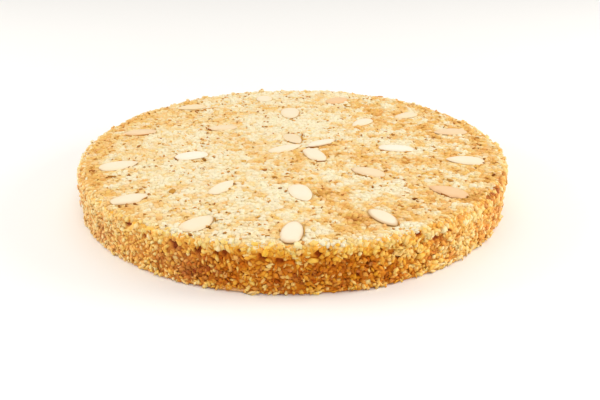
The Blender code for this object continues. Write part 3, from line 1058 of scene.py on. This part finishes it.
def makeCrust(form):
    draw = random.Random(form["seed"])
    points, normals, shares = crustSpots(form["spacing"], form["jitter"], draw, form["span"])
    draw = np.random.default_rng(form["seed"])
    hollow = hollowShare(points)
    keep = (insideSlices(points, 0.6 * mm) <= 0) | (points[:, 2] < 20 * mm)
    margin = crust["hollowMargin"] * (0.3 if form["inHollows"] else 1.0)
    keep &= hollowShare(points, margin) < 0.4
    keep &= ~bareFoot(points)
    points, normals, shares, hollow = points[keep], normals[keep], shares[keep], hollow[keep]
    count = len(points)
    sizes = np.stack([draw.uniform(*form[key], count) for key in ("length", "width", "thickness")], axis=1)
    sliver = draw.random(count) < form["sliverShare"]
    sizes[sliver] *= (1.4, 0.7, 0.8)
    onTop = smoothStep(0.88, 1.0, shares)
    sizes *= (0.86 + 0.14 * smoothStep(0.5, 0.75, shares) - 0.16 * onTop)[:, None]
    bearing = bearingOf(points) + 90
    sizes *= 1 + (crust["leftSize"] - 1) * smoothStep(18, 50, -bearing)[:, None]
    sizes *= 1 + (crust["rightSize"] - 1) * smoothStep(10, 35, bearing)[:, None]
    tilts = np.radians(form["tilt"]) * draw.uniform(-1, 1, (2, count)) * (1 - 0.65 * onTop)
    axes = turnedAxes(normals, draw.uniform(0, 2 * math.pi, count), *tilts)
    proud = draw.uniform(*form["proud"], count) * (1 - 0.8 * onTop) - crust["hollowDepth"] * hollow
    clumps = noiseAt(points, crust["clumpWidth"], 4.0)
    proud += crust["relief"] * clumps * (1 - onTop)
    centres = points + normals * (proud - 0.5 * sizes[:, 2])[:, None]
    tones, less = crustTones(form, points, shares, hollow, clumps, draw)
    kinds = blanks["chip"] + blanks["sliver"]
    kindOf = draw.integers(0, len(blanks["chip"]), count)
    kindOf[sliver] = len(blanks["chip"]) + draw.integers(0, len(blanks["sliver"]), int(sliver.sum()))
    hueLift = crust["leftHue"] * smoothStep(14, 38, -bearing) + crust["softHue"] * less
    soft = softShare(points) + less
    strew(form["name"], kinds, kindOf, centres, axes, sizes, tones, nutMaterial, 0.05, hueLift, soft)


for layer in crustLayers:
    makeCrust(layer)


# The larger flakes that stand out on the side and at the foot

bigFlakes = {
    "thickness": 0.9 * mm,
    "lean": (48, 8),  # degrees, for those lying at the foot and those on the side
    # bearing, height, length and width in millimetres, turn in degrees, tone, stand-out in millimetres
    "placed": (
        (-99.0, 0.8, 6.0, 2.6, 12, 0.84, 1.1), (-93.8, 0.7, 4.4, 2.2, 30, 0.82, 1.0),
        (-84.8, 0.8, 4.8, 2.4, 15, 0.84, 1.0), (-71.0, 0.9, 4.0, 2.6, 60, 0.76, 0.9),
        (-69.4, 0.8, 4.0, 2.0, 20, 0.78, 0.7), (-110.0, 0.9, 3.6, 2.0, 40, 0.78, 0.6),
        (-115.2, 0.9, 3.4, 2.0, -20, 0.80, 0.6), (-85.9, 18.1, 5.8, 3.0, 10, 0.62, 0.7),
        (-122.2, 20.8, 3.4, 2.6, 0, 0.76, 0.5), (-60.0, 1.2, 4.2, 2.6, -30, 0.74, 0.8),
        (-52.5, 1.4, 3.8, 2.4, 50, 0.74, 0.8), (-128.0, 1.2, 3.8, 2.2, 25, 0.80, 0.8),
        (-139.0, 1.4, 4.0, 2.4, -40, 0.82, 0.8), (-31.0, 1.2, 4.2, 2.4, 20, 0.76, 0.8),
        (-152.0, 1.2, 4.0, 2.2, 10, 0.82, 0.8),
    ),
}


def makeBigFlakes():
    rows = np.array(bigFlakes["placed"])
    turns = np.radians(rows[:, 0])
    outward = np.stack([np.cos(turns), np.sin(turns), np.zeros(len(rows))], axis=1)
    spots = []
    for out, height in zip(outward, rows[:, 1] * mm):
        start = Vector((out[0] * 0.13, out[1] * 0.13, height))
        spots.append(cakeSurface.ray_cast(start, Vector(-out))[0])
    sizes = np.stack([rows[:, 2] * mm, rows[:, 3] * mm, np.full(len(rows), bigFlakes["thickness"])], axis=1)
    lean = np.radians(np.where(rows[:, 1] < 3, *bigFlakes["lean"]))
    axes = turnedAxes(outward, np.radians(rows[:, 4]), lean, np.zeros(len(rows)))
    centres = np.array(spots) + outward * (rows[:, 6] * mm - 0.5 * bigFlakes["thickness"])[:, None]
    kinds = blanks["chip"]
    kindOf = np.arange(len(rows)) % len(kinds)
    strew("bigFlakes", kinds, kindOf, centres, axes, sizes, rows[:, 5], nutMaterial, paintedShadeLift=0.06)


makeBigFlakes()


# Darker crumbs on the top, and dark strips that are painted shade in thin gaps and along the slices' edges

flecks = {
    "seed": 31,
    "count": 330,
    "reach": 115 * mm,
    "length": (0.9 * mm, 2.6 * mm),
    "width": (0.5 * mm, 1.3 * mm),
    "tone": (0.20, 0.58),
    "thickness": 0.6 * mm,
    "proud": 0.30 * mm,
    "besideSlice": 25.6 * mm,
    # x, y, length and width in millimetres, turn in degrees, and tone, which is baked darkness or painted
    # shade
    "placed": (
        (5.8, 19.2, 10.5, 0.9, -83, 0.38), (12.0, 3.3, 10.9, 0.8, 4, 0.20),
        (22.7, 6.6, 5.7, 1.2, 4, 0.33), (26.6, 13.9, 2.5, 0.8, 42, 0.50),
        (25.0, -10.9, 2.7, 1.1, -36, 0.30), (15.2, -18.7, 8.3, 1.0, 10, 0.14),
        (6.0, -3.6, 9.7, 0.6, -85, 0.50), (10.6, -60.7, 3.8, 0.8, -84, 0.45),
        (8.8, -66.6, 6.9, 0.6, 61, 0.40), (13.7, -60.9, 9.0, 2.4, -79, 0.36),
        (35.2, -38.1, 8.4, 1.2, -34, 0.27), (49.8, -32.6, 3.0, 1.5, 0, 0.20),
        (49.2, -22.6, 2.7, 1.5, 0, 0.50), (51.1, -1.3, 3.2, 0.9, -16, 0.30),
        (49.5, 4.2, 2.4, 0.8, -46, 0.40), (65.2, -4.4, 4.4, 0.8, 0, 0.40),
        (70.4, 0.5, 6.4, 0.8, -91, 0.25), (50.8, 31.2, 6.3, 1.5, -68, 0.50),
        (-0.3, 51.4, 3.8, 0.8, -27, 0.40), (4.8, 63.0, 9.0, 0.6, -86, 0.40),
        (-49.7, 34.4, 6.6, 1.7, -56, 0.18), (-52.2, 38.3, 3.8, 0.8, -59, 0.30),
        (-31.6, 24.8, 4.6, 1.5, -74, 0.42), (-64.6, -13.5, 5.5, 1.2, -56, 0.15),
        (-48.7, -14.5, 4.9, 2.2, -62, 0.17), (-31.8, -37.8, 4.9, 1.1, -70, 0.40),
        (-43.2, -50.2, 3.8, 0.9, -64, 0.40), (4.9, -102.8, 12.0, 0.5, -90, 0.40),
        (-6.2, -103.1, 3.0, 0.8, -76, 0.33), (35.7, -82.5, 8.0, 1.2, -86, 0.30),
        (48.9, -96.0, 3.6, 1.0, -90, 0.45), (36.2, -90.4, 1.9, 0.8, -47, 0.20),
        (33.3, -91.1, 2.7, 0.9, 23, 0.35), (51.9, -77.6, 3.8, 1.4, -33, 0.30),
        (72.0, -58.5, 8.3, 1.0, -61, 0.20), (76.1, -65.7, 8.2, 1.4, -55, 0.20),
        (81.5, -45.7, 4.5, 1.9, -49, 0.30), (86.6, -66.8, 2.6, 1.1, -73, 0.20),
        (105.6, -16.4, 2.0, 1.2, -62, 0.15), (104.2, -22.0, 2.6, 1.0, -64, 0.15),
        (103.4, 1.1, 2.8, 0.8, 33, 0.30), (106.4, -2.3, 2.3, 0.8, -49, 0.35),
        (99.9, 44.5, 3.6, 1.2, -72, 0.30), (107.4, 44.4, 3.8, 1.1, -62, 0.30),
        (37.8, 77.8, 7.7, 0.9, -26, 0.40), (-61.8, 70.8, 8.5, 0.9, 14, 0.22),
        (-54.7, 74.9, 8.8, 0.9, 30, 0.40), (-70.9, 58.5, 4.0, 0.8, -26, 0.35),
        (-96.1, 23.7, 8.3, 0.8, 0, 0.35), (-88.1, 25.8, 8.6, 0.8, 18, 0.30),
        (-84.2, -18.2, 4.8, 1.2, -52, 0.35), (-96.2, -39.6, 3.8, 1.1, -7, 0.20),
        (-84.0, -75.8, 2.7, 1.2, -69, 0.20), (-80.9, -75.2, 3.2, 0.9, -73, 0.20),
        (-76.8, -73.5, 2.7, 1.2, -44, 0.15), (-73.2, -66.7, 4.7, 0.6, 60, 0.30),
        (-90.1, -71.5, 5.0, 1.2, -74, 0.58), (-38.7, -98.6, 3.4, 1.4, -52, 0.15),
        (-36.5, -90.8, 5.1, 0.8, -79, 0.30), (-46.7, -106.2, 3.2, 1.5, -42, 0.20),
        (-39.8, -80.4, 3.5, 1.5, -63, 0.35), (-51.5, -98.2, 5.3, 0.8, -80, 0.40),
        (-61, -58, 6.0, 3.2, 80, 0.33), (-107, -31, 4.0, 2.4, -60, 0.20), (-27, -17, 3.6, 2.6, 20, 0.40),
        (12, -63, 4.0, 2.2, -60, 0.30), (60, -69, 3.2, 2.0, 10, 0.06), (-15, -30, 3.4, 1.6, 30, 0.26),
        (-3, -40, 3.6, 1.4, 5, 0.34), (-10, -40, 3.2, 1.4, -8, 0.30), (6, 25, 5.0, 0.9, -80, 0.26),
        (-88, 7, 3.6, 1.6, 60, 0.26), (25, -90, 3.6, 2.2, 30, 0.36), (29, -92, 3.0, 1.8, -20, 0.30),
        (22, -86, 3.0, 1.6, 60, 0.38), (40, 6, 3.0, 2.4, 40, 0.26), (26, -8, 2.6, 1.8, -20, 0.30),
        (-38, 112, 5.0, 2.6, 60, 0.28), (35, 82, 2.8, 1.8, 20, 0.34), (11, 100, 3.2, 1.8, -40, 0.36),
        (-95, -38, 5.0, 1.2, -6, 0.24), (40.0, -105.5, 9.6, 2.6, -12, 0.72),
        (52.9, -89.8, 7.4, 2.4, -17, 0.72), (43.2, -97.0, 6.4, 2.6, -10, 0.98),
    ),
}


def scatterSpots(form, draw):
    radius = form["reach"] * np.sqrt(draw.random(form["count"]))
    bearing = draw.uniform(0, 2 * math.pi, form["count"])
    return np.stack([radius * np.cos(bearing), radius * np.sin(bearing)], axis=1)


def makeFlecks():
    form = flecks
    draw = np.random.default_rng(form["seed"])
    placed = np.array(form["placed"])
    count = form["count"]
    spots = np.concatenate([placed[:, :2] * mm, scatterSpots(form, draw)])
    length = np.concatenate([placed[:, 2] * mm, draw.uniform(*form["length"], count)])
    width = np.concatenate([placed[:, 3] * mm, draw.uniform(*form["width"], count)])
    turn = np.concatenate([np.radians(placed[:, 4]), draw.uniform(0, math.pi, count)])
    tones = np.concatenate([placed[:, 5], draw.uniform(*form["tone"], count)])
    points, _ = castDown(spots)
    keep = insideSlices(points, -0.2 * mm) <= 0
    # beside a slice, the solid's shallow bed is bridged; the dark strips there stand as painted shade along
    # its edge
    points[:, 2] = np.where(insideSlices(points, 0.6 * mm) > 0, form["besideSlice"], points[:, 2])
    sizes = np.stack([length, width, np.full(len(length), form["thickness"])], axis=1)
    flat = np.zeros(len(points))
    axes = turnedAxes(upright(len(points)), turn, flat, flat)
    centres = points + upright(len(points)) * (form["proud"] - 0.5 * form["thickness"])
    kindOf = draw.integers(0, len(blanks["grain"]), len(points))
    strew(
        "toastedFlecksAndShade", blanks["grain"], kindOf[keep], centres[keep], axes[keep], sizes[keep], tones[keep],
        crumbMaterial, paintedShadeLift=0.03,
    )


makeFlecks()


# Small dark specks among the crumbs: partly dark crumbs, partly painted shade of small pits

specks = {
    "seed": 32,
    "count": 540,
    "reach": 116 * mm,
    "length": (1.4 * mm, 3.2 * mm),
    "width": (1.1 * mm, 2.1 * mm),
    "thickness": 0.5 * mm,
    "proud": (0.16 * mm, 0.34 * mm),
    "tone": (0.28, 0.60),
}


def makeSpecks():
    form = specks
    draw = np.random.default_rng(form["seed"])
    points, _ = castDown(scatterSpots(form, draw))
    points = points[insideSlices(points, 0.1 * mm) <= 0]
    count = len(points)
    sizes = np.stack([draw.uniform(*form[key], count) for key in ("length", "width")], axis=1)
    sizes = np.concatenate([sizes, np.full((count, 1), form["thickness"])], axis=1)
    axes = turnedAxes(upright(count), draw.uniform(0, math.pi, count), *draw.normal(0, 0.1, (2, count)))
    rise = draw.uniform(*form["proud"], count) - 0.5 * form["thickness"]
    centres = points + upright(count) * rise[:, None]
    kindOf = draw.integers(0, len(blanks["bit"]), count)
    tones = form["tone"][0] + (form["tone"][1] - form["tone"][0]) * draw.random(count) ** 1.3
    strew("crumbSpecks", blanks["bit"], kindOf, centres, axes, sizes, tones, crumbMaterial, paintedShadeLift=0.02)


makeSpecks()


# Almond slices

sliceForm = {
    "corners": 36,
    "rings": (0.93, 0.78, 0.52, 0.26),
    # shares of the thickness: at the shoulder, the crown over it, and the rounding of both edges
    "shoulder": 0.86,
    "crown": 0.16,
    "edgeSoftness": 0.5,
    "lowEdge": 0.16,
    "warp": 0.10 * mm,
    "warpWidth": 7 * mm,
    "skinWidth": 3.5 * mm,
    "edgeToast": 0.25,
}


def ringsInward():
    for ring, inner in zip((1.0,) + sliceForm["rings"], sliceForm["rings"]):
        bpy.ops.mesh.extrude_region_move(TRANSFORM_OT_translate={"value": (0, 0, 0)})
        bpy.ops.transform.resize(value=(inner / ring, inner / ring, 1))
    bpy.ops.mesh.poke()


def makeSliceBlank():
    deselectAll()
    bpy.ops.mesh.primitive_circle_add(vertices=sliceForm["corners"], radius=1.0, fill_type="NGON")
    blank = bpy.context.object
    bpy.ops.object.mode_set(mode="EDIT")
    bpy.ops.mesh.select_all(action="SELECT")
    bpy.ops.mesh.extrude_region_move(TRANSFORM_OT_translate={"value": (0, 0, 1)})
    ringsInward()
    bpy.ops.mesh.select_all(action="DESELECT")
    pickFaces(blank, lambda face: len(face.verts) > 4)
    ringsInward()
    bpy.ops.mesh.select_all(action="SELECT")
    bpy.ops.mesh.remove_doubles(threshold=0.0001)
    bpy.ops.mesh.normals_make_consistent(inside=False)
    bpy.ops.object.mode_set(mode="OBJECT")
    return blank


# Each slice's ends and looks: how pointed its narrow and its wide end are (1 is a plain oval,
# more is pointed, less is blunt), its sideways bend, how toasted it is and how much skin shows
sliceLooks = {
    1: (1.5, 0.8, 0.05, -0.35, 0.2), 2: (1.3, 0.8, 0.08, 0.25, 0.2), 3: (1.5, 1.1, 0.06, 0.05, 0.45),
    4: (0.75, 0.7, 0.0, 0.2, 0.45), 5: (1.25, 0.75, 0.03, 0.1, 0.3), 6: (1.2, 0.9, 0.10, -0.15, 0.4),
    7: (0.9, 0.8, 0.0, -0.15, 0.3), 8: (1.5, 0.8, 0.03, 0.2, 0.2), 9: (0.9, 0.75, 0.02, 0.35, 0.2),
    10: (1.5, 0.9, 0.04, -0.15, 0.3), 11: (0.65, 0.9, 0.0, -0.2, 0.3), 12: (1.6, 0.9, 0.05, 0.2, 0.3),
    13: (1.0, 0.9, 0.0, 0.1, 0.6), 14: (1.3, 1.1, -0.05, 0.25, 0.8), 15: (1.6, 0.85, 0.05, 0.5, 0.5),
    16: (1.5, 0.7, 0.02, 0.25, 0.3), 17: (1.2, 0.9, 0.02, 0.12, 0.2), 18: (1.1, 1.0, 0.02, 0.45, 0.2),
    19: (1.2, 0.9, 0.03, 0.55, 0.2), 20: (0.9, 0.9, 0.02, 0.3, 0.2), 21: (1.3, 1.1, 0.03, 0.65, 0.2),
    22: (1.3, 0.9, 0.06, 0.12, 0.4), 23: (1.5, 0.8, 0.04, 0.25, 0.35), 24: (1.1, 0.9, 0.05, 0.3, 0.5),
    25: (1.3, 0.8, 0.04, 0.35, 0.4),
}


def endFactor(across, sharpness):
    # 1 leaves the end an oval; the edge is drawn in for a pointed end and let out for a blunt one
    return np.clip(1 - across**2, 0.02, 1) ** (0.5 * (sharpness - 1))


def shapeSlice(piece, item):
    mesh = piece.data
    points = pointsOf(mesh)
    narrow, wide, bend, toast, skinShare = sliceLooks[item["number"]]
    reach = np.hypot(points[:, 0], points[:, 1])
    around = points[:, 0] / np.maximum(reach, 1e-6)
    factor = np.where(around > 0, endFactor(around, narrow), endFactor(around, wide))
    taper = 1 - item["taper"] * around
    halfLength, halfWidth = item["length"] / 2, item["width"] / 2
    x = points[:, 0] * halfLength
    y = points[:, 1] * halfWidth * factor * taper
    y += bend * halfWidth * 2 * ((points[:, 0]) ** 2 - 0.35)
    top = points[:, 2] > 0.5
    height = sliceForm["shoulder"] + sliceForm["crown"] * (1 - reach**2)
    height -= sliceForm["edgeSoftness"] * smoothStep(0.80, 1.0, reach)
    z = item["thickness"] * np.where(top, height, sliceForm["lowEdge"] * smoothStep(0.75, 1.0, reach))
    local = np.stack([x, y, z], axis=1)
    wave = noiseAt(local, sliceForm["warpWidth"], item["number"])
    local[:, 2] += sliceForm["warp"] * wave * np.where(top, 1, 0.3)
    setPoints(mesh, local @ item["axes"] + item["centre"])
    edgeNoise = noiseAt(local, sliceForm["skinWidth"], 20.0 + item["number"])
    skin = smoothStep(0.94 - 0.12 * skinShare, 1.0, reach) * smoothStep(0.05, 0.55, skinShare)
    skin *= smoothStep(-0.25, 0.35, edgeNoise + 2 * (skinShare - 0.5))
    addAttribute(piece, "skin", np.clip(skin, 0, 1))
    addAttribute(piece, "toasted", toast + sliceForm["edgeToast"] * smoothStep(0.6, 1.0, reach))


def makeSlices():
    blank = makeSliceBlank()
    toastedNumbers = [
        number for number in range(1, sliceCount + 1)
        if "toasted" in frame["nodes"][f"almond_slice_{number:02d}"].data.materials[0].name
    ]
    total = 0
    for item in slices:
        piece = blank.copy()
        piece.data = blank.data.copy()
        piece.name = f"almondSlice{item['number']:02d}"
        bpy.context.scene.collection.objects.link(piece)
        shapeSlice(piece, item)
        finer = piece.modifiers.new("finer", "SUBSURF")
        finer.levels = 1
        finer.render_levels = 1
        applyAll(piece)
        bpy.ops.object.shade_smooth_by_angle(angle=math.radians(50))
        toasted = item["number"] in toastedNumbers
        slot = "almond_toasted" if toasted else "almond_pale"
        node = f"almond_slice_{item['number']:02d}"
        finishPiece(piece, toastedSliceMaterial if toasted else paleSliceMaterial, slot, node)
        total += sum(len(face.vertices) - 2 for face in piece.data.polygons)
    bpy.data.objects.remove(blank, do_unlink=True)
    print(len(slices), "slices,", total, "triangles, toasted:", toastedNumbers)


makeSlices()
